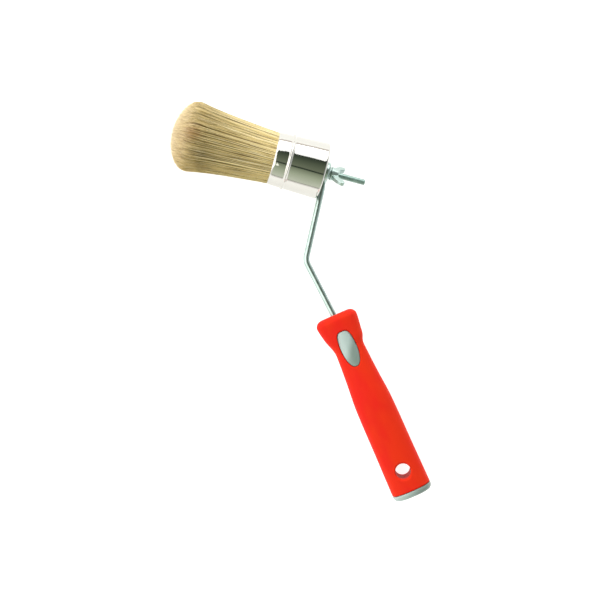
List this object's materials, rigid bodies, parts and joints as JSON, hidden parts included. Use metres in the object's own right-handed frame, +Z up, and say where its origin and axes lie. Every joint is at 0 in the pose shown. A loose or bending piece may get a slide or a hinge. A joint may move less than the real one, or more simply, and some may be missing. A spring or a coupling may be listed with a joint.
{
  "type": "round paint brush on a wire handle",
  "caption": "Round natural-bristle brush in a tinned cup ferrule, clamped by a wing nut to the eye of a bent wire frame with a two-colour plastic handle.",
  "frame": {"origin": "centre of the bounding box on the plane that the tool lies on", "axes": "+Z up from the table; +Y along the handle from its butt towards the brush; the bristles point to -X and +Y, the stud and wing nut to +X and -Y"},
  "size_m": [0.1314, 0.3466, 0.0547],
  "materials": {
    "bristle": "natural hog bristle, golden tan with paler split tips",
    "tinplate": "bright tinned steel, mirror-like",
    "zinc": "bright zinc plate, slightly green-blue",
    "grip_red": "red moulded plastic, satin",
    "grey_plastic": "grey-green moulded plastic, satin",
    "resin": "amber setting resin",
    "plug_wood": "bare turned wood"
  },
  "bodies": {
    "handle": {"wire_frame": "zinc", "handle_core": "grey_plastic", "handle_grip": "grip_red", "thumb_pad": "grey_plastic", "end_cap": "grey_plastic"},
    "brush_head": {"bristle_bundle": "bristle", "ferrule_cup": "tinplate", "core_plug": "plug_wood", "resin_setting": "resin", "backing_disc": "zinc", "stud_bolt": "zinc"},
    "washer": {"flat_washer": "zinc"},
    "nut": {"wing_nut": "zinc"}
  },
  "joints": [
    {"name": "head_turn", "type": "hinge", "parent": "handle", "child": "brush_head", "pos_m": [0.0398, 0.08416, 0.02217], "axis": [0.789, -0.6125, -0.0487], "continuous": true},
    {"name": "nut_travel", "type": "slide", "parent": "brush_head", "child": "washer", "axis": [0.789, -0.6125, -0.0487], "range_m": [0, 0.02]},
    {"name": "nut_turn", "type": "hinge", "parent": "washer", "child": "nut", "pos_m": [0.0398, 0.08416, 0.02217], "axis": [0.789, -0.6125, -0.0487], "range_deg": [0, 9000]}
  ],
  "couplings": [
    {"joint": "nut_travel", "follows": "nut_turn", "m_per_rad": 0.00012732}
  ]
}
